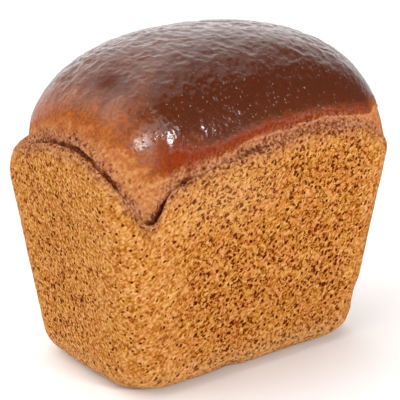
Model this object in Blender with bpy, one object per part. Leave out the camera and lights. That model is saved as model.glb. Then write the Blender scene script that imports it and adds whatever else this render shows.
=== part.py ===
"""A tin loaf: flared walls as the tin shaped them, a seam that dips at every
corner, and a domed top crust that rises out of it.

Metres, +Z up. The long sides run along X, the loaf stands on z = 0 and its
bounding box is centred on the Z axis. The way round the loaf is a number from
0 to 8: 0 is the corner at -X -Y, 1 the middle of the long side at -Y, 2 the
corner at +X -Y, and so on.
"""

import bmesh
import bpy
import numpy as np

# Walls, as the tin shaped them
BASE_LENGTH = 0.1380
BASE_WIDTH = 0.0865
RIM_LENGTH = 0.1680
RIM_WIDTH = 0.1060
RIM_HEIGHT = 0.1150
BASE_CORNER_RADIUS = 0.0210
RIM_CORNER_RADIUS = 0.0150
FOOT_RADIUS = 0.0120

# Where the top crust leaves the walls: way round, seam height, how far the
# seam is tucked in from the tin, height of the rounded shoulder below it
SEAM = (
    (0.16, 0.0890, 0.0045, 0.0130),
    (0.31, 0.1020, 0.0030, 0.0100),
    (0.62, 0.1090, 0.0020, 0.0080),
    (1.00, 0.1130, 0.0020, 0.0070),
    (1.36, 0.1160, 0.0024, 0.0070),
    (1.72, 0.1105, 0.0019, 0.0100),
    (2.05, 0.0997, 0.0020, 0.0093),
    (2.50, 0.1075, 0.0028, 0.0100),
    (3.00, 0.1120, 0.0030, 0.0090),
    (3.50, 0.1090, 0.0040, 0.0100),
    (4.00, 0.0950, 0.0060, 0.0160),
    (4.50, 0.1090, 0.0040, 0.0100),
    (5.00, 0.1130, 0.0030, 0.0080),
    (5.50, 0.1110, 0.0061, 0.0120),
    (6.00, 0.1064, 0.0102, 0.0210),
    (6.50, 0.1105, 0.0052, 0.0170),
    (6.95, 0.1165, 0.0050, 0.0120),
    (7.45, 0.1190, 0.0030, 0.0100),
    (7.80, 0.1145, 0.0030, 0.0100),
    (7.98, 0.1060, 0.0040, 0.0120),
)
WAY_ROUND = 8.0

# Top crust
CROWN_BASE = 0.1140
EDGE_RISE = 0.0295
EDGE_BREADTH_POWER = 3.9
EDGE_RISE_POWER = 2.1
CROWN_RISE = 0.0117
CROWN_LEAN_X = -0.12
CROWN_LEAN_Y = 0.14
DOME_CORNER_RADIUS = 0.0350
SEAM_HEIGHT_FADE = 4.0
SEAM_OUTLINE_FADE = 1.6

# Way round, how far the top crust's own outline is tucked in from the tin
DOME_TUCK = (
    (0.00, 0.0042),
    (0.45, 0.0047),
    (1.00, 0.0007),
    (2.00, 0.0057),
    (3.00, 0.0002),
    (4.00, 0.0115),
    (5.00, 0.0041),
    (6.00, 0.0099),
    (7.00, 0.0001),
    (7.55, 0.0073),
)

# Dent low on the corner at +X -Y
DENT_WAY = 1.97
DENT_HEIGHT = 0.0170
DENT_DEPTH = 0.0026
DENT_HALF_WAY = 0.11
DENT_HALF_HEIGHT = 0.0070

# Mesh: faces along each edge of the cube that it starts as, how closely the
# rings of the top gather towards the seam, and the columns towards the corners
DIVISIONS = 28
RING_POWER = 1.5
CORNER_GATHER = 0.16

CRUST_COLOR = (0.402, 0.170, 0.052, 1.0)
CRUST_ROUGHNESS = 0.62


def cubic_round(way, stations):
    """Smooth closed curve through stations of a way round and its values."""
    table = np.array(stations)
    at = np.concatenate([table[:, 0] + turn for turn in (-WAY_ROUND, 0.0, WAY_ROUND)])
    value = np.tile(table[:, 1:], (3, 1))
    slope = (value[2:] - value[:-2]) / (at[2:] - at[:-2])[:, None]
    slope = np.concatenate([slope[:1], slope, slope[-1:]])
    before = np.searchsorted(at, way, side="right") - 1
    gap = (at[before + 1] - at[before])[:, None]
    f = (way - at[before])[:, None] / gap
    blend = (
        (2 * f**3 - 3 * f**2 + 1) * value[before]
        + (f**3 - 2 * f**2 + f) * gap * slope[before]
        + (3 * f**2 - 2 * f**3) * value[before + 1]
        + (f**3 - f**2) * gap * slope[before + 1]
    )
    return blend.T


def way_of(p, q):
    """Way round of a point (p, q) on the border of the square from -1 to 1."""
    sides = [
        (q <= -1 + 1e-6, p + 1),
        (p >= 1 - 1e-6, q + 3),
        (q >= 1 - 1e-6, 5 - p),
        (p <= -1 + 1e-6, 7 - q),
    ]
    return np.select([test for test, _ in sides], [way for _, way in sides])


def gathered(s):
    """Even steps from -1 to 1 made closer towards both ends."""
    return s + CORNER_GATHER * np.sin(np.pi * s)


def rounded_rectangle(p, q, half_x, half_y, radius):
    """The square's border laid along a rectangle with round corners, each
    corner of the square going to the middle of an arc."""

    def along(s, half):
        run = np.abs(s) * (half - radius + radius * np.pi / 4)
        turned = np.maximum(run - (half - radius), 0) / radius
        forward = np.minimum(run, half - radius) + radius * np.sin(turned)
        return np.sign(s) * forward, radius * (1 - np.cos(turned))

    end = np.abs(p) >= np.abs(q)
    y_at_end, x_lost = along(q, half_y)
    x_at_side, y_lost = along(p, half_x)
    x = np.where(end, np.sign(p) * (half_x - x_lost), x_at_side)
    y = np.where(end, y_at_end, np.sign(q) * (half_y - y_lost))
    return x, y


def tin_at(z):
    """Half length, half width and corner radius of the flared walls."""
    part = z / RIM_HEIGHT
    half_x = (BASE_LENGTH + (RIM_LENGTH - BASE_LENGTH) * part) / 2
    half_y = (BASE_WIDTH + (RIM_WIDTH - BASE_WIDTH) * part) / 2
    radius = BASE_CORNER_RADIUS + (RIM_CORNER_RADIUS - BASE_CORNER_RADIUS) * part
    return half_x, half_y, radius


def wall(p, q, up):
    """Border point (p, q) raised up the wall, up being 0 at the foot and 1 at
    the seam: the tin's shape less the foot, the shoulder and the dent."""
    seam, tuck, shoulder = cubic_round(way_of(p, q), SEAM)
    z = up * seam
    past = np.clip((z - seam + shoulder) / shoulder, 0, 1)
    inset = tuck * (1 - np.sqrt(1 - past**2))
    foot = np.clip(1 - z / FOOT_RADIUS, 0, 1)
    inset = inset + FOOT_RADIUS * (1 - np.sqrt(1 - foot**2))
    off_way = (way_of(p, q) - DENT_WAY) / DENT_HALF_WAY
    off_height = (z - DENT_HEIGHT) / DENT_HALF_HEIGHT
    inset = inset + DENT_DEPTH * np.exp(-(off_way**2) - off_height**2)
    half_x, half_y, radius = tin_at(z)
    x, y = rounded_rectangle(p, q, half_x - inset, half_y - inset, radius)
    return x, y, z


def top(p, q, out):
    """Border point (p, q) drawn in to the crown, out being 1 at the seam and 0
    at the middle: a superellipse edge under a broad dome. The seam's height
    and outline fade into the dome's own as the edge rises."""
    way = way_of(p, q)
    seam, tuck, _ = cubic_round(way, SEAM)
    half_x, half_y, radius = tin_at(seam)
    seam_x, seam_y = rounded_rectangle(p, q, half_x - tuck, half_y - tuck, radius)
    (tuck,) = cubic_round(way, DOME_TUCK)
    half_x, half_y, _ = tin_at(CROWN_BASE)
    dome_x, dome_y = rounded_rectangle(
        p, q, half_x - tuck, half_y - tuck, DOME_CORNER_RADIUS
    )
    turn = np.pi / 2 * out**RING_POWER
    breadth = np.sin(turn) ** (2 / EDGE_BREADTH_POWER)
    rise = np.maximum(np.cos(turn), 0) ** (2 / EDGE_RISE_POWER)
    seam_part = (1 - rise) ** SEAM_OUTLINE_FADE
    x = (dome_x + (seam_x - dome_x) * seam_part) * breadth
    y = (dome_y + (seam_y - dome_y) * seam_part) * breadth
    off_x = 2 * x / RIM_LENGTH
    off_y = 2 * y / RIM_WIDTH
    lean = 1 + CROWN_LEAN_X * off_x + CROWN_LEAN_Y * off_y
    z = (
        CROWN_BASE
        + (seam - CROWN_BASE) * (1 - rise) ** SEAM_HEIGHT_FADE
        + EDGE_RISE * rise
        + CROWN_RISE * (1 - off_x**2) * (1 - off_y**2) * lean
    )
    return x, y, z


def base(p, q, out):
    """Border point (p, q) drawn in along the flat underside."""
    half_x, half_y, radius = tin_at(0.0)
    x, y = rounded_rectangle(p, q, half_x - FOOT_RADIUS, half_y - FOOT_RADIUS, radius)
    return x * out, y * out, np.zeros_like(x)


def loaf_points(cube):
    """The points of a cube from -1 to 1, moved onto the loaf."""
    a, b, c = cube.T
    ring = np.maximum(np.abs(a), np.abs(b))
    safe = np.where(ring > 0, ring, 1)
    p = gathered(np.where(ring > 0, a / safe, 1))
    q = gathered(np.where(ring > 0, b / safe, 1))
    on_top = c > 1 - 1e-6
    on_base = c < -1 + 1e-6
    up = (1 - np.cos(np.pi * (c + 1) / 2)) / 2
    shapes = zip(wall(p, q, up), top(p, q, ring), base(p, q, ring))
    points = np.stack([np.select([on_top, on_base], [t, f], w) for w, t, f in shapes], 1)
    middle = (points[:, :2].min(0) + points[:, :2].max(0)) / 2
    points[:, :2] -= middle
    return points


def crust_material():
    material = bpy.data.materials.new("bread crust")
    material.use_nodes = True
    shader = material.node_tree.nodes["Principled BSDF"]
    shader.inputs["Base Color"].default_value = CRUST_COLOR
    shader.inputs["Roughness"].default_value = CRUST_ROUGHNESS
    shader.inputs["Metallic"].default_value = 0.0
    return material


def make_loaf(collection):
    mesh = bpy.data.meshes.new("loaf")
    shape = bmesh.new()
    bmesh.ops.create_cube(shape, size=2.0)
    bmesh.ops.subdivide_edges(
        shape, edges=shape.edges[:], cuts=DIVISIONS - 1, use_grid_fill=True
    )
    shape.to_mesh(mesh)
    shape.free()
    cube = np.empty(len(mesh.vertices) * 3, np.float32)
    mesh.vertices.foreach_get("co", cube)
    points = loaf_points(cube.reshape(-1, 3).astype(float))
    mesh.vertices.foreach_set("co", points.astype(np.float32).ravel())
    mesh.shade_smooth()
    mesh.materials.append(crust_material())
    mesh.update()
    loaf = bpy.data.objects.new("loaf", mesh)
    collection.objects.link(loaf)


def main():
    for old in list(bpy.data.objects):
        bpy.data.objects.remove(old, do_unlink=True)
    collection = bpy.data.collections.new("tin loaf")
    bpy.context.scene.collection.children.link(collection)
    make_loaf(collection)


main()
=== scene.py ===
# %% [markdown]
# # A tin loaf
#
# A tin loaf is dough that was baked in a deep rectangular tin. The tin gives
# it smooth flared walls and rounded corners. Above the rim nothing held the
# dough, so it sprang up into a dome, tore away from the walls along a seam,
# and turned dark and glossy in the open heat of the oven.
#
# The loaf is made as two surfaces that meet in the dark seam: the wall crust,
# with the base, and the top crust. Each is a formula worked out on a grid of
# points with numpy, because a baked surface is one smooth form with thousands
# of small accidents on it, and a formula can carry both.

# %% Load the frame
import math

import bpy
import numpy as np
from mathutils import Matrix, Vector


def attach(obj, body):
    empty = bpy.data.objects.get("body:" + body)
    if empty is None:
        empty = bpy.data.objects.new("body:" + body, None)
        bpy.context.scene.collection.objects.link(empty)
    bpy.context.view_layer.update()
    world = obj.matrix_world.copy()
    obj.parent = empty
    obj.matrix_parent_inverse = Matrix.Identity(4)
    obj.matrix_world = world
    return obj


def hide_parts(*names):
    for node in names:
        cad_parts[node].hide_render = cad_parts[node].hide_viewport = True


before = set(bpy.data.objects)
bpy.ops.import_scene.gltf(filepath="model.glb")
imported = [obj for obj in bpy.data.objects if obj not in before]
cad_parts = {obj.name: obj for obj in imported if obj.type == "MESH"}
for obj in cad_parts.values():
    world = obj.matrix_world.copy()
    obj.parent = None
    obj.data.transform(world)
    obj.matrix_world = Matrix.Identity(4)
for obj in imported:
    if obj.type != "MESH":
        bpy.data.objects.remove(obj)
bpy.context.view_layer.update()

# %% [markdown]
# ## The tin
#
# The walls are a rectangle with round corners that grows evenly with height,
# so three numbers at the base and the same three at the rim describe them. A
# place on the loaf is named by how far round it is, from 0 to 8: 0 is the
# corner at -X -Y, 1 the middle of the long side at -Y, 2 the next corner.

# %% The tin's shape
MM = 0.001
BASE_LENGTH, RIM_LENGTH = 138.0 * MM, 168.0 * MM
BASE_WIDTH, RIM_WIDTH = 86.5 * MM, 106.0 * MM
BASE_CORNER_RADIUS, RIM_CORNER_RADIUS = 21.0 * MM, 15.0 * MM
RIM_HEIGHT = 115.0 * MM
FOOT_RADIUS = 12.0 * MM
WAY_ROUND = 8.0


def tin_at(z):
    """Half length, half width and corner radius at height z: base + (rim - base) z / rim height."""
    part = z / RIM_HEIGHT
    return (
        (BASE_LENGTH + (RIM_LENGTH - BASE_LENGTH) * part) / 2,
        (BASE_WIDTH + (RIM_WIDTH - BASE_WIDTH) * part) / 2,
        BASE_CORNER_RADIUS + (RIM_CORNER_RADIUS - BASE_CORNER_RADIUS) * part,
    )


def square_of(way):
    """The point (p, q) on the border of the square from -1 to 1 that lies this way round."""
    way = np.mod(way, WAY_ROUND)
    side = np.floor(way / 2)
    s = way - 2 * side - 1
    one = np.ones_like(s)
    p = np.select([side == 0, side == 1, side == 2], [s, one, -s], -one)
    q = np.select([side == 0, side == 1, side == 2], [-one, s, one], -s)
    return p, q


def way_of(p, q):
    """The way round of a border point (p, q), the inverse of square_of."""
    near_one = 1 - 1e-9
    return np.select(
        [q <= -near_one, p >= near_one, q >= near_one], [p + 1, q + 3, 5 - p], 7 - q
    )


def rounded_rectangle(p, q, half_x, half_y, radius):
    """The border point laid along a rectangle with round corners: straight for
    half - radius, then round the arc by the angle (length past it) / radius."""

    def along(s, half):
        run = np.abs(s) * (half - radius + radius * np.pi / 4)
        turned = np.maximum(run - (half - radius), 0) / radius
        forward = np.minimum(run, half - radius) + radius * np.sin(turned)
        return np.sign(s) * forward, radius * (1 - np.cos(turned))

    end = np.abs(p) >= np.abs(q)
    y_at_end, x_lost = along(q, half_y)
    x_at_side, y_lost = along(p, half_x)
    x = np.where(end, np.sign(p) * (half_x - x_lost), x_at_side)
    y = np.where(end, y_at_end, np.sign(q) * (half_y - y_lost))
    return x, y


# %% [markdown]
# ## The seam
#
# Where the dough rose over the rim it left the walls. The seam stands high in
# the middle of each side, where the dough was warmest, and dips at the
# corners. A smooth closed curve through a few stations says how high it is,
# how far it is tucked in from the tin and how tall the shoulder below it is.

# %% Stations round the seam
# way round, seam height, tuck, shoulder height, in mm
SEAM = (
    (0.16, 89.0, 4.5, 13.0),
    (0.31, 102.0, 3.0, 10.0),
    (0.62, 109.0, 2.0, 8.0),
    (1.00, 113.0, 2.0, 7.0),
    (1.36, 116.0, 2.4, 7.0),
    (1.72, 110.5, 1.9, 10.0),
    (2.05, 99.7, 2.0, 9.3),
    (2.50, 107.5, 2.8, 10.0),
    (3.00, 112.0, 3.0, 9.0),
    (3.50, 109.0, 4.0, 10.0),
    (4.00, 95.0, 6.0, 16.0),
    (4.50, 109.0, 4.0, 10.0),
    (5.00, 113.0, 3.0, 8.0),
    (5.50, 111.0, 6.1, 12.0),
    (6.00, 106.4, 10.2, 21.0),
    (6.50, 110.5, 5.2, 17.0),
    (6.95, 116.5, 5.0, 12.0),
    (7.45, 119.0, 3.0, 10.0),
    (7.80, 114.5, 3.0, 10.0),
    (7.98, 106.0, 4.0, 12.0),
)


def cubic_round(way, stations):
    """Closed curve through the stations: a cubic between each two, h00 v0 + h10 g m0 +
    h01 v1 + h11 g m1, whose slopes m come from the stations on either side."""
    table = np.array(stations)
    at = np.concatenate([table[:, 0] + turn for turn in (-WAY_ROUND, 0.0, WAY_ROUND)])
    value = np.tile(table[:, 1:], (3, 1))
    slope = (value[2:] - value[:-2]) / (at[2:] - at[:-2])[:, None]
    slope = np.concatenate([slope[:1], slope, slope[-1:]])
    way = np.mod(way, WAY_ROUND)
    before = np.searchsorted(at, way, side="right") - 1
    gap = (at[before + 1] - at[before])[..., None]
    f = (way - at[before])[..., None] / gap
    blend = (
        (2 * f**3 - 3 * f**2 + 1) * value[before]
        + (f**3 - 2 * f**2 + f) * gap * slope[before]
        + (3 * f**2 - 2 * f**3) * value[before + 1]
        + (f**3 - f**2) * gap * slope[before + 1]
    )
    return np.moveaxis(blend, -1, 0)


def seam_at(way):
    """Seam height, tuck and shoulder height in metres."""
    return cubic_round(way, SEAM) * MM


TRIP_POINTS = 801
round_trip = np.linspace(0, WAY_ROUND, TRIP_POINTS)
print("seam between", seam_at(round_trip)[0].min(), "and", seam_at(round_trip)[0].max(), "m")

# %% [markdown]
# ## The walls
#
# Going up a wall there are three stretches: a quarter turn at the foot, the
# long flared wall, and the shoulder, where the crust rolls in towards the
# seam. Rows are shared out among them by length, so the mesh is about as fine
# everywhere. A dent low on the corner at +X -Y is where the loaf was knocked
# as it left the tin, and a small step in the bottom edge is where the dough
# didn't fill the tin.

# %% Walls as a function
# way round, height, half extent round the loaf and up it, depth
DENT = (1.97, 17.0 * MM, 0.11, 7.0 * MM, 2.6 * MM)
NOTCH = (0.80, 0.0, 0.10, 7.0 * MM, 1.6 * MM)
FOOT_ROWS, WALL_ROWS, SHOULDER_ROWS = 20, 106, 22


def bump(way, z, middle_way, middle_height, half_way, half_height, depth):
    """A smooth bump: depth exp(-(way off / half way)^2 - (height off / half height)^2)."""
    off_way = (way - middle_way) / half_way
    off_height = (z - middle_height) / half_height
    return depth * np.exp(-(off_way**2) - off_height**2)


def wall_rows(way):
    """Heights and insets up the wall. Foot: z = R (1 - cos a), inset = R (1 - sin a).
    Shoulder: z = seam - s (1 - sin b), inset = tuck (1 - cos b)."""
    seam, tuck, shoulder = seam_at(way)
    a = np.linspace(0, np.pi / 2, FOOT_ROWS)[:, None]
    b = np.linspace(0, np.pi / 2, SHOULDER_ROWS)[:, None]
    part = np.linspace(0, 1, WALL_ROWS + 2)[1:-1, None]
    z = np.concatenate([
        FOOT_RADIUS * (1 - np.cos(a)) * np.ones_like(way),
        FOOT_RADIUS + (seam - shoulder - FOOT_RADIUS) * part,
        seam - shoulder * (1 - np.sin(b)),
    ])
    inset = np.concatenate([
        FOOT_RADIUS * (1 - np.sin(a)) * np.ones_like(way),
        part * np.zeros_like(way),
        tuck * (1 - np.cos(b)),
    ])
    return z, inset + bump(way, z, *DENT) + bump(way, z, *NOTCH)


def wall_points(way):
    """The wall's points, rows up the loaf by columns round it."""
    z, inset = wall_rows(way)
    p, q = square_of(way)
    half_x, half_y, radius = tin_at(z)
    x, y = rounded_rectangle(p, q, half_x - inset, half_y - inset, radius)
    return np.stack([x, y, z], -1)


rough = wall_points(round_trip)
middle = np.append((rough.min((0, 1)) + rough.max((0, 1)))[:2] / 2, 0.0)
print("walls, mm:", np.round(np.ptp(rough, (0, 1)) / MM, 1))

# %% [markdown]
# ## The dome
#
# The top crust is drawn in ring by ring from the seam to the crown. A
# superellipse makes the rounded edge, a broad low dome lies on it, and the
# seam's uneven height and outline fade out as the edge rises, because dough
# only remembers a tear close to it.

# %% Dome as a function
CROWN_BASE = 114.0 * MM
EDGE_RISE = 29.5 * MM
EDGE_BREADTH_POWER = 3.9
EDGE_RISE_POWER = 2.1
CROWN_RISE = 11.7 * MM
CROWN_LEAN_X, CROWN_LEAN_Y = -0.12, 0.14
DOME_CORNER_RADIUS = 35.0 * MM
SEAM_HEIGHT_FADE = 4.0
SEAM_OUTLINE_FADE = 1.6
RING_POWER = 1.5
# way round, how far the dome's own outline is tucked in from the tin, in mm
DOME_TUCK = (
    (0.00, 4.2),
    (0.45, 4.7),
    (1.00, 0.7),
    (2.00, 5.7),
    (3.00, 0.2),
    (4.00, 11.5),
    (5.00, 4.1),
    (6.00, 9.9),
    (7.00, 0.1),
    (7.55, 7.3),
)


def dome_points(way, out):
    """Points of the dome at this way round, out being 1 at the seam and 0 at the crown.
    Breadth b = sin(t)^(2/3.9), rise r = cos(t)^(2/2.1), with t = (pi/2) out^1.5;
    z = base + (seam - base) (1 - r)^4 + edge r + crown (1 - X^2)(1 - Y^2)(lean)."""
    p, q = square_of(way)
    seam, tuck, _ = seam_at(way)
    half_x, half_y, radius = tin_at(seam)
    seam_x, seam_y = rounded_rectangle(p, q, half_x - tuck, half_y - tuck, radius)
    (tuck,) = cubic_round(way, DOME_TUCK) * MM
    half_x, half_y, _ = tin_at(CROWN_BASE)
    dome_x, dome_y = rounded_rectangle(p, q, half_x - tuck, half_y - tuck, DOME_CORNER_RADIUS)
    turn = np.pi / 2 * out**RING_POWER
    breadth = np.sin(turn) ** (2 / EDGE_BREADTH_POWER)
    rise = np.maximum(np.cos(turn), 0) ** (2 / EDGE_RISE_POWER)
    seam_part = (1 - rise) ** SEAM_OUTLINE_FADE
    x = (dome_x + (seam_x - dome_x) * seam_part) * breadth
    y = (dome_y + (seam_y - dome_y) * seam_part) * breadth
    off_x, off_y = 2 * x / RIM_LENGTH, 2 * y / RIM_WIDTH
    lean = 1 + CROWN_LEAN_X * off_x + CROWN_LEAN_Y * off_y
    z = (
        CROWN_BASE
        + (seam - CROWN_BASE) * (1 - rise) ** SEAM_HEIGHT_FADE
        + EDGE_RISE * rise
        + CROWN_RISE * (1 - off_x**2) * (1 - off_y**2) * lean
    )
    return np.stack([x, y, z], -1)


print("crown height, mm:", dome_points(np.zeros(1), np.zeros(1))[0, 2] / MM)

# %% [markdown]
# ## Accidents of baking
#
# Crust is uneven at every scale. Two helpers make that unevenness: smooth
# noise, for waves and wrinkles, and bubbles, which are balls scattered
# through space and cut open by the surface, as the gas bubbles in dough are.
# Both start from a number worked out from whole-number coordinates, so the
# loaf comes out the same each time.

# %% Noise and bubbles
HASH = (374761393, 668265263, 3266489917, 2246822519)
HASH_MIX = 1274126177
HASH_SPAN = 2.0**32


def scattered(cell, seed):
    """A repeatable number from 0 to 1 for each whole-number cell, by integer hashing."""
    x, y, z = (cell[..., i].astype(np.uint32) * np.uint32(HASH[i]) for i in range(3))
    n = x + y + z + np.uint32(seed * HASH[3] % 2**32)
    n = (n ^ (n >> np.uint32(13))) * np.uint32(HASH_MIX)
    n = (n ^ (n >> np.uint32(16))) * np.uint32(HASH[3])
    return (n ^ (n >> np.uint32(15))) / HASH_SPAN


def noise(points, size, seed):
    """Smooth noise from -1 to 1: corner numbers of a lattice, blended by 3f^2 - 2f^3."""
    place = points / size
    cell = np.floor(place).astype(np.int64)
    f = place - cell
    f = f * f * (3 - 2 * f)
    total = np.zeros(points.shape[:-1])
    for corner in np.ndindex(2, 2, 2):
        weight = np.prod(np.where(np.array(corner) == 1, f, 1 - f), -1)
        total += weight * scattered(cell + np.array(corner), seed)
    return 2 * total - 1


def layered(points, size, layers, seed):
    """Noise at size, size/2, size/4 and so on, each half as strong."""
    return sum(noise(points, size / 2**k, seed + k) / 2**k for k in range(layers))


def bubbles(points, size, smallest, largest, seed):
    """Depth from 0 to 1 in open bubbles: the most of 1 - (distance / radius)^2 over
    the bubbles of the 27 cells round each point, one bubble at random in each."""
    cell = np.floor(points / size).astype(np.int64)
    depth = np.zeros(points.shape[:-1])
    for step in np.ndindex(3, 3, 3):
        there = cell + np.array(step) - 1
        place = np.stack([scattered(there, seed + k) for k in (1, 2, 3)], -1)
        radius = smallest + (largest - smallest) * scattered(there, seed + 4) ** 2
        away = points - (there + place) * size
        depth = np.maximum(depth, 1 - (away**2).sum(-1) / radius**2)
    return depth


def ramp(low, high, value):
    """0 below low and 1 above high, 3t^2 - 2t^3 between."""
    t = np.clip((value - low) / (high - low), 0, 1)
    return t * t * (3 - 2 * t)


def surface_object(name, points, faces):
    """A smooth-shaded mesh object from an array of points and a list of faces."""
    mesh = bpy.data.meshes.new(name)
    mesh.from_pydata((points - middle).reshape(-1, 3), [], faces)
    mesh.shade_smooth()
    mesh.update()
    piece = bpy.data.objects.new(name, mesh)
    bpy.context.scene.collection.objects.link(piece)
    return piece


def normals_of(piece):
    """The smooth normal at each vertex, as an array."""
    normal = np.empty(len(piece.data.vertices) * 3, np.float32)
    piece.data.vertices.foreach_get("normal", normal)
    return normal.reshape(-1, 3).astype(float)


def press(piece, points, height):
    """Moves each vertex along its normal by its height."""
    moved = points - middle + normals_of(piece) * height[:, None]
    piece.data.vertices.foreach_set("co", moved.astype(np.float32).ravel())
    piece.data.update()


def paint(piece, **layers):
    """Writes named values from 0 to 1 on the vertices, for the material to read."""
    for name, value in layers.items():
        layer = piece.data.attributes.new(name, "FLOAT", "POINT")
        layer.data.foreach_set("value", np.clip(value, 0, 1).astype(np.float32))


print("noise 1 mm from the origin:", noise(np.array([[MM, 0, 0]]), 4 * MM, 1))

# %% [markdown]
# ## How the seam tore
#
# The seam is not the same all the way round. On the short side at -X and on
# one arm of the dip at the near corner it is an open cleft. In the dip itself
# it has healed, and along the long side it is a thin crack that widens into a
# band of torn pits. Two numbers at each station hold that, and some noise makes
# the cleft stray up and down, because dough tears jagged.

# %% Stations of the tear
# way round, how deep the cleft is, how torn the band beside it is
TEAR = (
    (0.00, 0.30, 0.80),
    (0.06, 0.12, 0.80),
    (0.12, 0.30, 0.90),
    (0.17, 0.75, 1.00),
    (0.25, 0.70, 0.85),
    (0.33, 0.60, 0.80),
    (0.42, 0.75, 0.85),
    (0.52, 0.35, 0.70),
    (0.80, 0.50, 0.70),
    (1.05, 0.35, 0.80),
    (1.30, 0.20, 1.00),
    (1.60, 0.20, 1.00),
    (1.80, 0.20, 0.60),
    (2.00, 0.25, 0.35),
    (2.60, 0.60, 0.50),
    (3.30, 0.50, 0.70),
    (4.00, 0.35, 0.50),
    (4.60, 0.55, 0.80),
    (5.40, 0.50, 0.60),
    (6.10, 0.35, 0.90),
    (6.60, 0.35, 1.00),
    (6.95, 0.55, 0.90),
    (7.20, 0.80, 1.00),
    (7.38, 0.95, 1.00),
    (7.60, 1.00, 1.00),
    (7.88, 0.90, 1.00),
)
CLEFT_WIDTH = 1.0 * MM
TORN_WIDTH = 5.5 * MM
JAG = 0.6 * MM
TEAR_SWING = 0.5
# size, layers and seed of the noise
CLEFT_NOISE = (4 * MM, 2, 71)
TORN_NOISE = (9 * MM, 1, 72)
JAG_NOISE = (3 * MM, 2, 73)
# cell, smallest and largest radius
TORN_PITS = (2.0 * MM, 0.5 * MM, 1.3 * MM)
PITS_PER_TEAR = 1.5


def tear_at(way, points):
    """Cleft depth and tearing from 0 to 1, with some noise along the seam, and how far
    the cleft strays up or down from it, so that it runs jagged."""
    cleft, torn = cubic_round(way, TEAR)
    cleft = cleft * (1 + TEAR_SWING * layered(points, *CLEFT_NOISE))
    torn = torn * (1 + TEAR_SWING * layered(points, *TORN_NOISE))
    return np.clip(cleft, 0, 1), np.clip(torn, 0, 1), JAG * layered(points, *JAG_NOISE)


def torn_edge(points, from_seam, torn, seed):
    """The torn band, torn exp(-(distance / width)^2), and the pits that open in it."""
    band = np.exp(-((from_seam / TORN_WIDTH) ** 2)) * torn
    return band, bubbles(points, *TORN_PITS, seed) * np.minimum(PITS_PER_TEAR * band, 1)


def open_cleft(from_seam, cleft):
    """The cleft, cleft exp(-(distance / width)^2) beside the seam and whole past it."""
    return np.exp(-((np.maximum(from_seam, 0) / CLEFT_WIDTH) ** 2)) * cleft


print("stations of the tear:", len(TEAR))

# %% [markdown]
# ## The wall crust
#
# The walls and the base are one tube of rings: rings across the base, up the
# wall, over the shoulder and a little way in under the dome, closed at both
# ends by a point. Columns are spaced by their length along the wall, not by
# the way round, so the corners don't get finer ones than the sides.

# %% Rings of the wall crust
COLUMNS = 600
BASE_RINGS = 9
LIP_DEPTH = 2.5 * MM
LIP_REACH = 3.0 * MM
LIP_ROWS = 3
LENGTH_POINTS = 8001


def even_ways(count):
    """Ways round whose points lie at equal distances along the wall at half height."""
    way = np.linspace(0, WAY_ROUND, LENGTH_POINTS)
    p, q = square_of(way)
    x, y = rounded_rectangle(p, q, *tin_at(RIM_HEIGHT / 2))
    length = np.append(0, np.cumsum(np.hypot(np.diff(x), np.diff(y))))
    return np.interp(np.linspace(0, length[-1], count, endpoint=False), length, way)


def tube_faces(rows, columns):
    """Quads between rows, then a fan to the first extra point and one from the last row."""
    row = np.arange(rows - 1)[:, None]
    column = np.arange(columns)
    after = (column + 1) % columns
    low, high = row * columns, (row + 1) * columns
    quads = np.stack([low + column, low + after, high + after, high + column], -1)
    bottom, top = rows * columns, rows * columns + 1
    last = (rows - 1) * columns
    fans = [np.stack([after, column, np.full(columns, bottom)], -1)]
    fans += [np.stack([last + column, last + after, np.full(columns, top)], -1)]
    return quads.reshape(-1, 4).tolist() + np.concatenate(fans).tolist()


way = even_ways(COLUMNS)
wall_grid = wall_points(way)
base_grid = wall_grid[:1] * np.array([1, 1, 0])
base_grid = base_grid * np.linspace(0, 1, BASE_RINGS + 1)[1:-1, None, None]
lip_part = np.linspace(0, 1, LIP_ROWS + 1)[1:, None, None]
edge = wall_grid[-1:]
inward = edge * np.array([-1, -1, 0])
inward = inward / np.linalg.norm(inward, axis=-1, keepdims=True)
lip_grid = edge + lip_part * (LIP_REACH * inward - np.array([0, 0, LIP_DEPTH]))
rings = np.concatenate([base_grid, wall_grid, lip_grid])
poles = np.array([[0, 0, 0], [0, 0, rings[-1, :, 2].min() - LIP_DEPTH]])
wall_shape = np.concatenate([rings.reshape(-1, 3), poles])
wall_crust = surface_object("wall_crust", wall_shape, tube_faces(len(rings), COLUMNS))
print("wall crust:", len(wall_crust.data.vertices), "points")

# %% [markdown]
# ## Relief of the walls
#
# Bread baked against tin is flat but not smooth. It has slow waves where the
# dough didn't quite fill the tin, a fine sandy grain, and everywhere the
# mouths of bubbles. The larger mouths are pressed into the mesh here, and
# their depth is kept on the vertices, so the material can darken them. So is
# where the crust is paler: floury in one patch under the seam, and along the
# foot, where the paler colour is painted light from the bright table.

# %% Press the relief into the walls
# way round, how toasted the wall is, how open its pores are
TONE = (
    (0.10, 0.30, 0.50),
    (0.35, 0.45, 0.65),
    (0.65, 0.80, 0.95),
    (1.20, 0.95, 1.00),
    (1.60, 0.80, 1.00),
    (1.85, 0.35, 0.60),
    (2.10, 0.25, 0.45),
    (3.00, 0.35, 0.70),
    (3.90, 0.25, 0.50),
    (4.35, 0.70, 0.90),
    (5.00, 0.90, 1.00),
    (5.70, 0.60, 0.80),
    (6.10, 0.30, 0.60),
    (6.60, 0.35, 0.85),
    (7.20, 0.25, 0.80),
    (7.75, 0.20, 0.60),
)
# heights of waves and grain, and how far they are kept below the tin's face
WAVE_HEIGHT, WAVE_SINK = 0.35 * MM, 0.8
GRAIN_HEIGHT, GRAIN_SINK = 0.12 * MM, 0.5
RAGGED_HEIGHT = 0.6 * MM
PORE_DEPTH = 0.55 * MM
TORN_PIT_DEPTH = PORE_DEPTH * 1.6
CLEFT_DEPTH = 1.3 * MM
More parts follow.
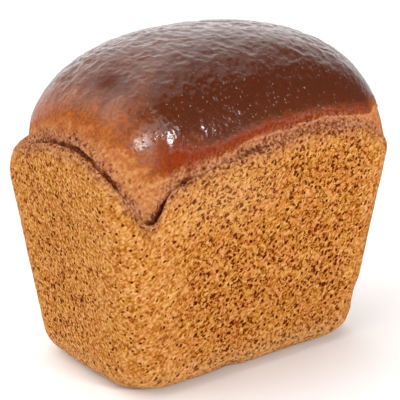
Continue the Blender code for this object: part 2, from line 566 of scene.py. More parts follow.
# size, layers and seed of the noise
SLOW_WAVES = (32 * MM, 2, 11)
SANDY_GRAIN = (2.6 * MM, 2, 21)
RAGGED_EDGE = (3 * MM, 2, 51)
# how far the pores are pushed out of round, and the noise that does it
WARP, WARP_SIZE, WARP_SEEDS = 0.8 * MM, 2.6 * MM, (33, 34, 35)
# cell, smallest and largest radius and seed of the pores, which are drawn out in height
SMALL_PORES = (3.6 * MM, 0.3 * MM, 1.05 * MM, 31)
LARGE_PORES = (5.4 * MM, 0.3 * MM, 1.4 * MM, 36)
PORE_SQUASH = np.array([1, 1, 0.7])
WALL_PIT_SEED = 41
BASE_BELOW = 0.5 * MM
# where the toasted tone grows weaker, where the foot is painted paler as painted light, and the
# floury patch
PALER_FROM, PALER_BY = (85 * MM, 108 * MM), 0.5
PAINTED_FOOT_LIGHT = (2 * MM, 20 * MM)
FLOURY_PATCH = (0.72, 94 * MM, 0.33, 13 * MM, 0.55)
PIT_PAINT, CLEFT_PAINT = 1.3, 1.1

all_ways = np.concatenate([np.tile(way, len(rings)), [0, 0]])
wall_z = wall_shape[:, 2]
below_seam = seam_at(all_ways)[0] - wall_z
on_lip = np.arange(len(wall_shape)) >= (len(rings) - LIP_ROWS) * COLUMNS
on_lip[-2] = False  # the middle of the base
toasted, opened = cubic_round(all_ways, TONE)
cleft, torn, jag = tear_at(all_ways, wall_shape)
warps = [layered(wall_shape, WARP_SIZE, 2, seed) for seed in WARP_SEEDS]
warped = wall_shape * PORE_SQUASH + WARP * np.stack(warps, -1)
small_pores = bubbles(warped, *SMALL_PORES) * opened
pores = np.maximum(small_pores, bubbles(warped, *LARGE_PORES))
torn_band, torn_pits = torn_edge(wall_shape, below_seam, torn, WALL_PIT_SEED)
in_cleft = open_cleft(np.where(on_lip, 0, below_seam) + jag, cleft)
wall_height = (
    WAVE_HEIGHT * (layered(wall_shape, *SLOW_WAVES) - WAVE_SINK)
    + GRAIN_HEIGHT * (layered(wall_shape, *SANDY_GRAIN) - GRAIN_SINK)
    - PORE_DEPTH * pores
    - TORN_PIT_DEPTH * torn_pits
    + RAGGED_HEIGHT * torn_band * layered(wall_shape, *RAGGED_EDGE)
    - CLEFT_DEPTH * in_cleft
)
wall_height = np.where(wall_z < BASE_BELOW, np.minimum(wall_height, 0), wall_height)
press(wall_crust, wall_shape, np.where(on_lip, 0.0, wall_height))
# painted light: the open crust along the foot is painted paler, as if lit by the bright table
foot = (1 - ramp(*PAINTED_FOOT_LIGHT, wall_z)) * opened
paint(
    wall_crust,
    pit=np.maximum(pores, torn_pits * PIT_PAINT),
    cleft=in_cleft * CLEFT_PAINT,
    torn=torn_band,
    toasted=toasted * (1 - PALER_BY * ramp(*PALER_FROM, wall_z)),
    opened=opened,
    floury=np.maximum(foot, bump(all_ways, wall_z, *FLOURY_PATCH)),
)
print("deepest pore on the walls, mm:", round(PORE_DEPTH * pores.max() / MM, 2))

# %% [markdown]
# ## The top crust
#
# Rings that shrink to a point would crowd at the crown, so this grid is a
# square sheet whose square rings are laid on the dome's rings. Its border
# goes on down inside the wall crust and is closed underneath.

# %% Sheet of the top crust
SHEET_X, SHEET_Y = 372, 236
SKIRT_ROWS = 3
SKIRT_DEPTH = 3.0 * MM

grid_p, grid_q = np.meshgrid(
    np.linspace(-1, 1, SHEET_X + 1), np.linspace(-1, 1, SHEET_Y + 1), indexing="ij"
)
out = np.maximum(np.abs(grid_p), np.abs(grid_q))
safe = np.where(out > 0, out, 1.0)
sheet_way = np.where(out > 0, way_of(grid_p / safe, grid_q / safe), 0.0)
sheet = dome_points(sheet_way, out)

index = np.arange(sheet_way.size).reshape(sheet_way.shape)
border = np.concatenate([index[:-1, 0], index[-1, :-1], index[:0:-1, -1], index[0, :0:-1]])
rim = sheet.reshape(-1, 3)[border]
skirt_part = np.linspace(0, 1, SKIRT_ROWS + 1)[1:, None, None]
skirt = rim - skirt_part * np.array([0, 0, SKIRT_DEPTH])
under = np.array([[0, 0, rim[:, 2].min() - SKIRT_DEPTH]])
top_shape = np.concatenate([sheet.reshape(-1, 3), skirt.reshape(-1, 3), under])

cells = np.stack([index[:-1, :-1], index[1:, :-1], index[1:, 1:], index[:-1, 1:]], -1)
skirt_index = sheet_way.size + np.arange(skirt.size // 3).reshape(SKIRT_ROWS, -1)
loops = np.concatenate([border[None], skirt_index])
nexts = np.roll(loops, -1, 1)
skirt_faces = np.stack([loops[:-1], loops[1:], nexts[1:], nexts[:-1]], -1)
lid = np.stack([loops[-1], np.full(len(border), len(top_shape) - 1), nexts[-1]], -1)
faces = cells.reshape(-1, 4).tolist() + skirt_faces.reshape(-1, 4).tolist() + lid.tolist()
top_crust = surface_object("top_crust", top_shape, faces)
print("top crust:", len(top_shape), "points")

# %% [markdown]
# ## Relief of the dome
#
# The dark crust set hard while the loaf was still rising, so its skin is
# drawn into fine wrinkles near the crown and pricked by tiny blisters. Below
# it, down to the seam, the crust is pale and full of pores like the walls.
# How far a point is baked depends on its height above the seam, so stations
# round the loaf say from where the dough is crust and from where it is dark.

# %% Press the relief into the dome
# way round, heights above the seam at which the crust begins and is dark, in mm,
# and how red it is between them
BAKED = (
    (0.07, 17, 46, 0.2),
    (0.15, 18, 46, 0.35),
    (0.22, 14, 38, 0.65),
    (0.30, 7, 25, 0.95),
    (0.45, 3.5, 16, 1.0),
    (0.80, 3.5, 11, 1.0),
    (1.00, 4, 12, 1.0),
    (1.30, 3, 9, 1.0),
    (1.60, 3, 9, 0.9),
    (1.80, 7, 13, 0.7),
    (1.90, 14, 20, 0.5),
    (2.00, 17, 24, 0.5),
    (2.20, 14, 24, 0.4),
    (3.00, 8, 24, 0.4),
    (4.00, 14, 28, 0.6),
    (4.50, 7, 19, 0.9),
    (5.00, 5, 12, 1.0),
    (5.60, 7, 15, 0.7),
    (6.00, 9, 30, 0.4),
    (6.50, 5, 32, 0.2),
    (7.50, 5, 32, 0.1),
    (7.80, 7, 34, 0.1),
    (7.95, 12, 40, 0.3),
)
WRINKLE_HEIGHT, BLISTER_HEIGHT, UNEVEN_HEIGHT = 0.36 * MM, 0.08 * MM, 0.2 * MM
TOP_CLEFT_DEPTH = CLEFT_DEPTH * 0.6
# size, layers and seed of the noise
UNEVEN = (12 * MM, 3, 61)
WRINKLES = (7 * MM, 3, 81)
BLISTERS = (1.5 * MM, 2, 91)
WAVERING = 1.3 * MM
# cell, smallest and largest radius and seed of the pores
TOP_PORES = (3.6 * MM, 0.3 * MM, 1.1 * MM, 101)
TOP_PIT_SEED = 111
# how baked the dough is where the pores end, and where the crust has its full height
PORES_UNTIL = (-0.05, 0.25)
CRUST_LIP_HEIGHT, CRUST_LIP_FROM = 0.5 * MM, (-0.1, 0.3)
# heights between which the wrinkles and the crown begin
WRINKLED_FROM, CROWN_FROM = (124 * MM, 144 * MM), (136 * MM, 150 * MM)
# the pale raised line along the edge of the dark crust, and the ways where it starts and ends
RIM_LINE_HEIGHT, RIM_LINE_WIDTH = 0.6 * MM, 0.5 * MM
RIM_LINE_START, RIM_LINE_END = (0.7, 1.1), (2.3, 2.6)
# the dull short end, and the dull spot above it, which is also painted darker as painted shade
DULL_END_WAY, DULL_END_HALF, DULL_END_UNTIL = 7.35, 0.60, (126 * MM, 142 * MM)
SHADED_DULL_SPOT = (-59 * MM, -14 * MM, 143.5 * MM)
SHADED_DULL_SPOT_RADIUS, SHADED_DULL_SPOT_PART = 9 * MM, 0.6
# the value painted where the crust begins, and how much more where it is dark
BAKE_START, BAKE_STEP = 0.25, 0.25

skirt_ways = np.tile(sheet_way.ravel()[border], SKIRT_ROWS)
top_ways = np.concatenate([sheet_way.ravel(), skirt_ways, [0.0]])
on_skirt = np.arange(len(top_shape)) >= sheet_way.size
top_z = top_shape[:, 2]
above_seam = top_z - seam_at(top_ways)[0]
crust_from, dark_from, red = cubic_round(top_ways, BAKED)
crust_from, dark_from = crust_from * MM, dark_from * MM
uneven = layered(top_shape, *UNEVEN)
wavering = above_seam + WAVERING * uneven
baked = (wavering - crust_from) / (dark_from - crust_from)
rim_line = np.exp(-(((wavering - crust_from) / RIM_LINE_WIDTH) ** 2))
rim_line = rim_line * ramp(*RIM_LINE_START, top_ways) * (1 - ramp(*RIM_LINE_END, top_ways))
cleft, torn, jag = tear_at(top_ways, top_shape)
wrinkles = 1 - 2 * np.abs(layered(top_shape, *WRINKLES))
top_pores = bubbles(top_shape * PORE_SQUASH, *TOP_PORES) * (1 - ramp(*PORES_UNTIL, baked))
top_band, top_torn = torn_edge(top_shape, np.maximum(above_seam, 0), torn, TOP_PIT_SEED)
top_cleft = open_cleft(above_seam - jag, cleft)
dull_end = np.exp(-(((top_ways - DULL_END_WAY) / DULL_END_HALF) ** 2))
dull_end = dull_end * (1 - ramp(*DULL_END_UNTIL, top_z))
from_patch = np.linalg.norm(top_shape - np.array(SHADED_DULL_SPOT), axis=-1)
shaded_dull_spot = SHADED_DULL_SPOT_PART * np.exp(-((from_patch / SHADED_DULL_SPOT_RADIUS) ** 2))
top_height = (
    WRINKLE_HEIGHT * (wrinkles - 1.0) * ramp(*WRINKLED_FROM, top_z)
    + BLISTER_HEIGHT * layered(top_shape, *BLISTERS)
    + CRUST_LIP_HEIGHT * (ramp(*CRUST_LIP_FROM, baked) - 1)
    + RIM_LINE_HEIGHT * rim_line
    + UNEVEN_HEIGHT * uneven
    - PORE_DEPTH * top_pores
    - TORN_PIT_DEPTH * top_torn
    - TOP_CLEFT_DEPTH * top_cleft
)
press(top_crust, top_shape, np.where(on_skirt, 0.0, top_height))
# painted shade: the bake is raised in the dull spot, so it is painted darker there
paint(
    top_crust,
    baked=BAKE_START + BAKE_STEP * baked + BAKE_STEP * shaded_dull_spot,
    red=red,
    rim=rim_line,
    crown=ramp(*CROWN_FROM, top_z),
    dull=np.maximum(dull_end, shaded_dull_spot),
    pit=np.maximum(top_pores, top_torn * PIT_PAINT),
    cleft=top_cleft * CLEFT_PAINT,
    torn=top_band,
)
print("share of the dome that is fully baked:", round(float((baked > 1).mean()), 2))

# %% [markdown]
# ## Materials
#
# Both crusts are painted by nodes that read the object's own coordinates, so
# the pattern stays on the bread. A few helpers keep the node code short, and
# the world's nodes are made with them too.

# %% Node helpers
NO_TURN = (0.0, 0.0, 0.0)


def srgb(red, green, blue):
    """A colour as it looks on screen, 0 to 255, as the linear light that shaders use:
    ((v + 0.055) / 1.055)^2.4, and v / 12.92 near black."""
    scaled = np.array([red, green, blue]) / 255
    linear = np.where(scaled <= 0.04045, scaled / 12.92, ((scaled + 0.055) / 1.055) ** 2.4)
    return (*linear.tolist(), 1.0)


class Paintbox:
    """The node tree of a material or a world, with a short call for each kind of node."""

    def __init__(self, owner, shader="Principled BSDF", place="Object"):
        owner.use_nodes = True
        self.owner = owner
        self.tree = owner.node_tree
        self.shader = self.tree.nodes[shader]
        self.place = self.tree.nodes.new("ShaderNodeTexCoord").outputs[place]

    def node(self, kind, inputs=(), **settings):
        """A node of this kind, with its settings made and its inputs joined."""
        made = self.tree.nodes.new("ShaderNode" + kind)
        for name, value in settings.items():
            setattr(made, name, value)
        for key, value in dict(inputs).items():
            self.join(value, made.inputs[key])
        return made

    def join(self, value, socket):
        """Links another node's output to the socket, or sets the socket to a constant."""
        if isinstance(value, bpy.types.NodeSocket):
            self.tree.links.new(value, socket)
        else:
            socket.default_value = value

    def shade(self, inputs):
        """Joins values to the shader's inputs of those names."""
        for name, value in inputs.items():
            self.join(value, self.shader.inputs[name])

    def noise(self, size, detail=2.0, rough=0.5, place=None):
        """Smooth noise from 0 to 1 with lumps of this size and some finer ones on them."""
        inputs = {"Vector": place or self.place, "Scale": 1 / size}
        inputs.update({"Detail": detail, "Roughness": rough})
        return self.node("TexNoise", inputs).outputs["Fac"]

    def cells(self, size, place=None):
        """Distance to the nearest scattered point, in sizes, and that point's random number."""
        made = self.node("TexVoronoi", {"Vector": place or self.place, "Scale": 1 / size})
        split = self.node("SeparateColor", {"Color": made.outputs["Color"]})
        return made.outputs["Distance"], split.outputs["Red"]

    def maths(self, operation, a, b=0.0, clamp=False):
        """The operation on a and b, kept between 0 and 1 if clamp is set."""
        made = self.node("Math", {0: a, 1: b}, operation=operation, use_clamp=clamp)
        return made.outputs["Value"]

    def combine(self, operation, first, *others):
        """The operation worked through all the values from left to right."""
        for other in others:
            first = self.maths(operation, first, other)
        return first

    def times(self, a, b):
        """The product of a and b."""
        return self.maths("MULTIPLY", a, b)

    def span(self, value, low, high, to_low=0.0, to_high=1.0):
        """Maps low..high to to_low..to_high by 3t^2 - 2t^3."""
        inputs = {"Value": value, "From Min": low, "From Max": high}
        inputs.update({"To Min": to_low, "To Max": to_high})
        return self.node("MapRange", inputs, interpolation_type="SMOOTHSTEP").outputs["Result"]

    def mix(self, factor, a, b, blend="MIX"):
        """Colour a where the factor is 0 and b, or a blended with b, where it is 1."""
        made = self.node("Mix", data_type="RGBA", blend_type=blend, clamp_factor=True)
        self.join(factor, made.inputs[0])
        self.join(a, made.inputs[6])
        self.join(b, made.inputs[7])
        return made.outputs[2]

    def ramped(self, value, stops):
        """A colour that runs through (position, colour) stops."""
        made = self.node("ValToRGB", {"Fac": value})
        elements = made.color_ramp.elements
        for position, _ in stops[2:]:
            elements.new(position)
        for element, (position, tint) in zip(elements, stops):
            element.position = position
            element.color = tint
        return made.outputs["Color"]

    def layer(self, name):
        """The value painted on the vertices under this name."""
        return self.node("Attribute", attribute_name=name).outputs["Fac"]

    def stretch(self, scale, turn=NO_TURN):
        """Object coordinates turned back and divided by scale, so that what is drawn in
        them is turned and stretched."""
        inputs = {"Vector": self.place, "Scale": scale, "Rotation": turn}
        return self.node("Mapping", inputs, vector_type="TEXTURE").outputs["Vector"]

    def bumped(self, height, strength, distance):
        """The surface's normal, tilted by the slope of height times distance."""
        inputs = {"Height": height, "Strength": strength, "Distance": distance}
        return self.node("Bump", inputs).outputs["Normal"]


# %% [markdown]
# ## Pores
#
# Under the larger mouths in the mesh there is a dense speckle of small ones.
# Scattered cells give each pore its own size: the cell's random number sets
# how far from its centre the pore reaches, and many come out as nothing. A
# little noise added to the coordinates makes their edges ragged. Where bubbles
# ran into each other the crust shows short threads instead. They are drawn
# where a noise passes through its middle value, and lean the way the dough
# was drawn as it rose.

# %% Pore pattern
HALF = (0.5, 0.5, 0.5)
# reach of a pore in closed crust, and how far outside a pore its rim lies, in cells
CLOSED_REACH = 0.5
RIM_FROM = (-0.28, -0.08)


def ragged_place(box, size, amount, scale=(1.0, 1.0, 1.0), turn=NO_TURN):
    """Object coordinates pushed about by noise: place + amount (noise - 1/2)."""
    push = box.node("TexNoise", {"Vector": box.place, "Scale": 1 / size, "Detail": 1.0})
    push = box.node("VectorMath", {0: push.outputs["Color"], 1: HALF}, operation="SUBTRACT")
    inputs = {0: push.outputs["Vector"], 1: (amount,) * 3, 2: box.stretch(scale, turn)}
    return box.node("VectorMath", inputs, operation="MULTIPLY_ADD").outputs["Vector"]


def pore_layer(box, size, least, most, soft, place, opened):
    """1 in a pore and 0 outside, and 1 on the rim around it. A pore reaches least +
    (most - least) random cells from its centre, less where the crust is closed."""
    distance, chance = box.cells(size, place)
    reach = box.span(chance, 0.0, 1.0, least, most)
    reach = box.times(reach, box.span(opened, 0.0, 1.0, CLOSED_REACH, 1.0))
    inside = box.maths("SUBTRACT", reach, distance)
    pore = box.span(inside, -soft / 2, soft)
    return pore, box.maths("SUBTRACT", box.span(inside, *RIM_FROM), pore, True)


# cell, least and most reach, softness, then the noise that makes the edges ragged
ROUND_PORES, ROUND_RAG = (2.3 * MM, -0.20, 0.42, 0.20), (1.2 * MM, 1.2 * MM)
LONG_PORES, LONG_RAG = (2.9 * MM, -0.25, 0.36, 0.16), (1.8 * MM, 1.6 * MM)
LONG_STRETCH, SLANT = (1.5, 1.0, 1.0), (0.0, math.radians(-35), 0.0)
# size, half width and strength of the threads, and the noise that breaks them up
THREAD_SIZE, THREAD_HALF, THREAD_STRENGTH = 2.3 * MM, 0.08, 0.85
GATE_SIZE, GATE = 2.2 * MM, (0.45, 0.57)


def pore_pattern(box, slanted, opened):
    """The strongest of round pores, long pores and threads, and the rims of the pores.
    A thread runs where |noise - 1/2| is near 0 and a second noise is high."""
    off_middle = box.maths("SUBTRACT", box.noise(THREAD_SIZE, 1.0, place=slanted), 0.5)
    thread = box.span(box.maths("ABSOLUTE", off_middle), 0.0, THREAD_HALF, 1.0, 0.0)
    gate = box.span(box.noise(GATE_SIZE, 0.0), *GATE)
    where_open = box.span(opened, 0.5, 1.0, 0.2, 1.0)
    threads = box.combine("MULTIPLY", thread, gate, where_open, THREAD_STRENGTH)
    place = ragged_place(box, *ROUND_RAG)
    round_pores, round_rims = pore_layer(box, *ROUND_PORES, place, opened)
    place = ragged_place(box, *LONG_RAG, LONG_STRETCH, SLANT)
    long_pores, long_rims = pore_layer(box, *LONG_PORES, place, opened)
    pores = box.combine("MAXIMUM", round_pores, long_pores, threads)
    return pores, box.maths("MAXIMUM", round_rims, long_rims)


# %% [markdown]
# ## The wall crust's finish
#
# The wall crust is wheat-gold where it lay flat on the tin, redder and darker
# in patches where fat browned it, and matte. Pores go nearly black-brown
# inside, with a pale floury rim, and the torn band beside the seam is greyish.

# %% Colours of the bread
PORE = srgb(80, 25, 0)
BROWN = srgb(120, 55, 3)
TOAST = srgb(158, 92, 29)
WHEAT = srgb(183, 122, 56)
FLOUR = srgb(210, 160, 106)
BREAD_COLOURS = ((0.0, PORE), (0.25, BROWN), (0.48, TOAST), (0.66, WHEAT), (1.0, FLOUR))
RUSSET = srgb(255, 243, 236)
GOLDEN = srgb(255, 253, 234)
SLANT_STRETCH = (1.25, 1.0, 0.95)
# size of the lumps, and how much they raise and lower the surface
MOTTLE = ((1.4 * MM, 0.41), (2.8 * MM, 0.10), (8.0 * MM, 0.05))
# how much a closed and an open crust show the wider two
BLOTCHES, PATCHES = (1.6, 0.6), (2.5, 0.5)
PALE_LEVEL, TOASTED_LEVEL = 0.66, 0.63
PORE_DROP, RIM_LIFT = 0.75, 0.12
HUE_SIZE, HUE_EDGE = 10 * MM, (0.42, 0.58)


def bread_colour(box, toasted, opened):
    """Height of the crumbly surface, from mottling at three sizes less the pores, and
    the colour that goes with it: brown in the hollows, wheat above, floury on top.
    Toasted places are shifted to brown and rust."""
    slanted = box.stretch(SLANT_STRETCH, SLANT)
    fine, blotchy, patchy = (
        box.span(box.noise(size, 1.0, place=slanted), 0.0, 1.0, -strength, strength)
        for size, strength in MOTTLE
    )
    pores, rims = pore_pattern(box, slanted, opened)
    patchy = box.times(patchy, box.span(opened, 0.3, 1.0, *PATCHES))
    blotchy = box.times(blotchy, box.span(opened, 0.3, 1.0, *BLOTCHES))
    even = box.span(toasted, 0.0, 1.0, PALE_LEVEL, TOASTED_LEVEL)
    level = box.combine("ADD", fine, blotchy, patchy, even)
    level = box.maths("SUBTRACT", level, box.times(pores, PORE_DROP))
    level = box.maths("ADD", level, box.times(rims, RIM_LIFT))
    hue = box.span(box.noise(HUE_SIZE, 3.0, 0.6), *HUE_EDGE)
    russet = box.times(hue, box.span(toasted, 0.0, 1.0, 0.30, 1.0))
    colour = box.mix(russet, box.ramped(level, BREAD_COLOURS), RUSSET, "MULTIPLY")
    golden = box.span(hue, 0.2, 0.6, 0.9, 0.0)
    return box.mix(golden, colour, GOLDEN, "MULTIPLY"), pores, level


# %% [markdown]
# ## The seam's finish
#
# The same three things lie on both crusts beside the seam: a greyish tint
# where the dough tore, dark pits, and the cleft. They are read from the values
# on the vertices, and a little noise breaks up their edges.

# %% Seam colours, and the wall crust's material
PORE_BROWN = srgb(104, 42, 8)
SEAM_DARK = srgb(64, 26, 8)
SEAM_GREY = srgb(176, 122, 98)
TINT_SIZE, PIT_EDGE_SIZE, DEEP_SIZE = 1.3 * MM, 1.1 * MM, 1.5 * MM
TORN_TINT, PIT_TINT, PIT_EDGE = 0.7, 0.8, 0.2
# roughness and specular level of baked dough, its roughness in a pore, and its bump
DOUGH_ROUGH, PORE_ROUGH, DOUGH_SPECULAR = 0.75, 0.95, 0.05
WALL_BUMP, BUMP_DISTANCE = 0.6, 0.5 * MM


def seam_colour(box, colour):
    """A greyish tint where the seam is torn, then the pits, then the dark of the cleft."""
    tint = box.span(box.noise(TINT_SIZE, 1.0), 0.42, 0.58)
    tint = box.mix(tint, SEAM_GREY, PORE_BROWN)
    colour = box.mix(box.times(box.layer("torn"), TORN_TINT), colour, tint)
    rough_edge = box.span(box.noise(PIT_EDGE_SIZE, 1.0), 0.3, 0.7, -PIT_EDGE, PIT_EDGE)
    pits = box.maths("ADD", box.layer("pit"), rough_edge)
    colour = box.mix(box.span(pits, 0.3, 0.9, 0.0, PIT_TINT), colour, PORE)
    deep = box.span(box.noise(DEEP_SIZE, 1.0), 0.40, 0.62)
    deep = box.mix(deep, SEAM_DARK, PORE_BROWN)
    return box.mix(box.span(box.layer("cleft"), 0.3, 0.8), colour, deep)


walls = Paintbox(bpy.data.materials.new("wall crust"))
toasted, opened = walls.layer("toasted"), walls.layer("opened")
bread, pores_seen, relief = bread_colour(walls, toasted, opened)
# paler flour colour on the floury patch, and along the foot as painted light
on_bread = walls.span(relief, 0.3, 0.6, 0.2, 0.6)
on_bread = walls.times(walls.layer("floury"), on_bread)
walls.shade({
    "Base Color": seam_colour(walls, walls.mix(on_bread, bread, FLOUR)),
    "Roughness": walls.span(pores_seen, 0.0, 1.0, DOUGH_ROUGH, PORE_ROUGH),
    "Specular IOR Level": DOUGH_SPECULAR,
    "Normal": walls.bumped(relief, WALL_BUMP, BUMP_DISTANCE),
})
wall_crust.data.materials.append(walls.owner)
print("wall crust material:", len(walls.tree.nodes), "nodes")

# %% [markdown]
# ## The top crust's colour
#
# One value on the vertices, how far the dough is baked, drives the colour:
# wheat with pores at the seam, then orange and rust, then a dark brown. Along
# the long side the rust is redder. Small round blisters are painted a little
# paler and greyer, a painted glint, and each is as large as its cell's random
# number says.

# %% Colour of the top crust
BAKE_COLOURS = (
    (0.25, srgb(178, 102, 42)),
    (0.31, srgb(164, 88, 36)),
    (0.38, srgb(140, 78, 42)),
    (0.45, srgb(110, 56, 28)),
    (0.55, srgb(86, 35, 10)),
    (0.90, srgb(80, 31, 8)),
)
RED = srgb(128, 40, 0)
PALE_RIM = srgb(206, 140, 96)
PAINTED_GLINT = srgb(136, 92, 70)
PINKISH = srgb(180, 115, 80)
PINKISH_PART, RIM_PART, SPECKLE_PART, PAINTED_GLINT_PART = 0.45, 0.85, 0.4, 0.2
# how toasted and how open the dough below the crust is
FRESH = 0.6
WAVY_SIZE, WAVY = 6 * MM, 0.045
SPECKLE_SIZE = 1.4 * MM
# values of bake between which the crust begins and the red ends
SKIN_FROM, RED_UNTIL, RED_PART = (0.22, 0.30), (0.52, 0.40), 0.9
BLISTER_CELL, SMALLEST_BLISTER, LARGEST_BLISTER = 1.8 * MM, 0.04, 0.40

top = Paintbox(bpy.data.materials.new("top crust"))
wavy = top.span(top.noise(WAVY_SIZE, 4.0, 0.6), 0.25, 0.75, -WAVY, WAVY)
bake = top.maths("ADD", top.layer("baked"), wavy)
bread, _, relief = bread_colour(top, FRESH, FRESH)
bread = top.mix(PINKISH_PART, bread, PINKISH)
skin = top.span(bake, *SKIN_FROM)
redness = top.span(bake, *RED_UNTIL, 0.0, RED_PART)
redness = top.times(top.layer("red"), redness)
skin_colour = top.mix(redness, top.ramped(bake, BAKE_COLOURS), RED)
speckle = top.span(top.noise(SPECKLE_SIZE, 1.0), 0.30, 0.70)
speckled = top.mix(SPECKLE_PART, skin_colour, SEAM_DARK)
skin_colour = top.mix(speckle, skin_colour, speckled)
distance, chance = top.cells(BLISTER_CELL)
reach = top.span(chance, 0.1, 1.0, SMALLEST_BLISTER, LARGEST_BLISTER)
blister = top.maths("SUBTRACT", reach, distance)
blister = top.maths("DIVIDE", blister, LARGEST_BLISTER, True)
# painted glint: the blisters are painted a paler greyish colour
skin_colour = top.mix(top.span(blister, 0.0, 0.5, 0.0, PAINTED_GLINT_PART), skin_colour, PAINTED_GLINT)
colour = top.mix(skin, bread, skin_colour)
colour = top.mix(top.times(top.layer("rim"), RIM_PART), colour, PALE_RIM)
top.shade({"Base Color": seam_colour(top, colour)})
print("colour of the top crust:", len(top.tree.nodes), "nodes")

# %% [markdown]
# ## The top crust's gloss
#
# The gloss comes from a low roughness, and it begins a little after the crust
# does. The blisters in the bump catch the light away from the main highlight
# and give it its sparks. The short end at -X and a spot above it stayed
# duller, so a value on the vertices takes the gloss down there. The spot is
# also painted darker, as painted shade.

# %% Gloss and fine relief of the top crust
GLOSS_ROUGH, GLOSS_SPECULAR = 0.18, 0.38
# values of bake between which the gloss begins, and where the crust isn't red
GLOSS_FROM, EARLY_GLOSS_FROM = (0.36, 0.46), (0.26, 0.32)
DULLED = 0.05
# size and height of the skin's two grains
FINE_SKIN, WIDE_SKIN = (1.5 * MM, 0.16), (3.2 * MM, 0.33)
BLISTER_RELIEF, CROWN_RELIEF, TOP_BUMP = 0.9, 0.45, 0.8

settled = top.maths("SUBTRACT", 1.0, top.layer("red"))
early_gloss = top.times(settled, top.span(bake, *EARLY_GLOSS_FROM))
gloss = top.maths("MAXIMUM", early_gloss, top.span(bake, *GLOSS_FROM))
dulling = top.span(top.layer("dull"), 0.0, 1.0, 1.0, DULLED)
gloss = top.times(gloss, dulling)
fine, wide = (
    top.span(top.noise(size, 1.0), 0.0, 1.0, 0.0, height)
    for size, height in (FINE_SKIN, WIDE_SKIN)
)
blister_relief = top.times(blister, BLISTER_RELIEF)
skin_relief = top.combine("ADD", fine, wide, blister_relief)
flatter = top.span(top.layer("crown"), 0.0, 1.0, 1.0, CROWN_RELIEF)
skin_relief = top.times(skin_relief, flatter)
top_relief = top.node("Mix", {"Factor": skin, "A": relief, "B": skin_relief}, data_type="FLOAT")
top.shade({
    "Roughness": top.span(gloss, 0.0, 1.0, DOUGH_ROUGH, GLOSS_ROUGH),
    "Specular IOR Level": top.span(gloss, 0.0, 1.0, DOUGH_SPECULAR, GLOSS_SPECULAR),
    "Normal": top.bumped(top_relief.outputs["Result"], TOP_BUMP, BUMP_DISTANCE),
})
top_crust.data.materials.append(top.owner)
print("top crust material:", len(top.tree.nodes), "nodes")

# %% [markdown]
# ## Into the frame
#
# Both pieces ride on the loaf's one body and together stand for its solid.

# %% Ride and replace
for piece in (wall_crust, top_crust):
    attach(piece, "root")
    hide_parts("loaf")
    print(piece.name, "stands for the loaf")

# %% [markdown]
# ## Table
#
# The loaf stands on a plain pale table. It is a single square, large enough
# to fill the view, and only part of the stage.

# %% Table
FLOOR_HALF = 4.0
FLOOR_CORNERS = ((-1, -1), (1, -1), (1, 1), (-1, 1))
FLOOR_ROUGH = 0.9

scene = bpy.context.scene
scene.view_settings.view_transform = "Standard"
floor_mesh = bpy.data.meshes.new("floor")
corners = [(x * FLOOR_HALF, y * FLOOR_HALF, 0) for x, y in FLOOR_CORNERS]
floor_mesh.from_pydata(corners, [], [(0, 1, 2, 3)])
floor = bpy.data.objects.new("floor", floor_mesh)
scene.collection.objects.link(floor)
floor_box = Paintbox(bpy.data.materials.new("pale table"))
floor_box.shade({"Base Color": srgb(248, 248, 248), "Roughness": FLOOR_ROUGH})
floor_mesh.materials.append(floor_box.owner)
print("table, m:", list(floor.dimensions))

# %% [markdown]
# ## A white room
#
# The room is a white studio that is brightest behind the loaf and dimmer
# overhead, so a glossy dome reflects it only along its far edge. How bright
# it is depends on two things: how nearly a direction points at the bright
# side, and how high it points.

# %% White room
BRIGHT_SIDE, BRIGHT_HEIGHT = math.radians(190), math.radians(5)
BRIGHTEST, DIMMEST = 1.8, 0.2
BRIGHT_SPAN = (-0.35, 0.7)
CEILING, CEILING_SPAN = 0.55, (0.65, 0.9)


def direction(azimuth, elevation):
    """Unit vector towards the viewer at this azimuth a and elevation e:
    (sin a cos e, -cos a cos e, sin e)."""
    flat = math.cos(elevation)
    return Vector((math.sin(azimuth) * flat, -math.cos(azimuth) * flat, math.sin(elevation)))


scene.world = bpy.data.worlds.new("white studio")
sky = Paintbox(scene.world, "Background", "Generated")
towards_bright = {0: sky.place, 1: direction(BRIGHT_SIDE, BRIGHT_HEIGHT)}
facing = sky.node("VectorMath", towards_bright, operation="DOT_PRODUCT").outputs["Value"]
level = sky.span(facing, *BRIGHT_SPAN, DIMMEST, BRIGHTEST)
height = sky.node("SeparateXYZ", {"Vector": sky.place}).outputs["Z"]
dimming = sky.span(height, *CEILING_SPAN, 1.0, CEILING)
sky.shade({"Color": (1, 1, 1, 1), "Strength": sky.times(level, dimming)})
print("room between", DIMMEST * CEILING, "and", BRIGHTEST)

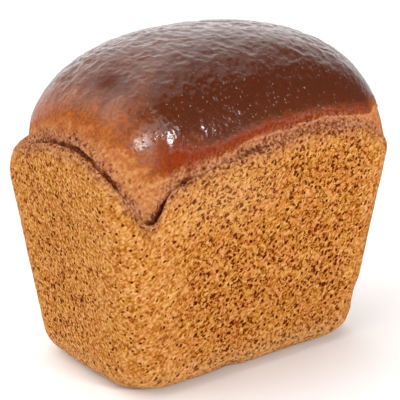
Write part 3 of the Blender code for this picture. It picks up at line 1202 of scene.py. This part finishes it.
# %% [markdown]
# ## Softboxes
#
# A low, wide softbox puts the broken highlight on the near edge of the dome.
# A large one on the left lights the short wall, a small one in front adds a
# soft sheen, and one overhead keeps the table white.

# %% Softboxes
TARGET_HEIGHT = 71.7 * MM
# name, azimuth and elevation in degrees, distance, width and height in m, power in W
SOFTBOXES = (
    ("highlight softbox", 4, 18, 1.0, 0.25, 0.08, 5.8),
    ("left softbox", -86, 37, 1.3, 1.1, 1.1, 5.9),
    ("front softbox", -13, 33, 1.2, 0.5, 0.45, 1.9),
    ("overhead softbox", 190, 82, 1.2, 1.4, 1.4, 5.2),
)


def softbox(name, azimuth, elevation, distance, width, height, power):
    """An area light at middle + distance times direction, which looks at the middle."""
    light = bpy.data.lights.new(name, "AREA")
    light.shape = "RECTANGLE"
    light.size, light.size_y = width, height
    light.energy = power
    lamp = bpy.data.objects.new(name, light)
    way_out = direction(math.radians(azimuth), math.radians(elevation))
    lamp.location = Vector((0, 0, TARGET_HEIGHT)) + way_out * distance
    lamp.rotation_euler = way_out.to_track_quat("Z", "Y").to_euler()
    scene.collection.objects.link(lamp)


for settings in SOFTBOXES:
    softbox(*settings)
print("softboxes:", len(SOFTBOXES))

# %% [markdown]
# ## Camera
#
# A long lens from a little above shows both walls and the dome, with hardly
# any narrowing towards the back.

# %% Camera
CAMERA_AZIMUTH, CAMERA_ELEVATION = math.radians(-36.66), math.radians(20.25)
CAMERA_DISTANCE = 0.802
LENS, SENSOR_WIDTH = 152.3, 36.0

camera_data = bpy.data.cameras.new("camera")
camera_data.sensor_width = SENSOR_WIDTH
camera_data.lens = LENS
camera = bpy.data.objects.new("camera", camera_data)
backwards = direction(CAMERA_AZIMUTH, CAMERA_ELEVATION)
camera.location = Vector((0, 0, TARGET_HEIGHT)) - Vector(middle) + backwards * CAMERA_DISTANCE
camera.rotation_euler = backwards.to_track_quat("Z", "Y").to_euler()
scene.collection.objects.link(camera)
scene.camera = camera
print("camera at, m:", [round(place, 3) for place in camera.location])
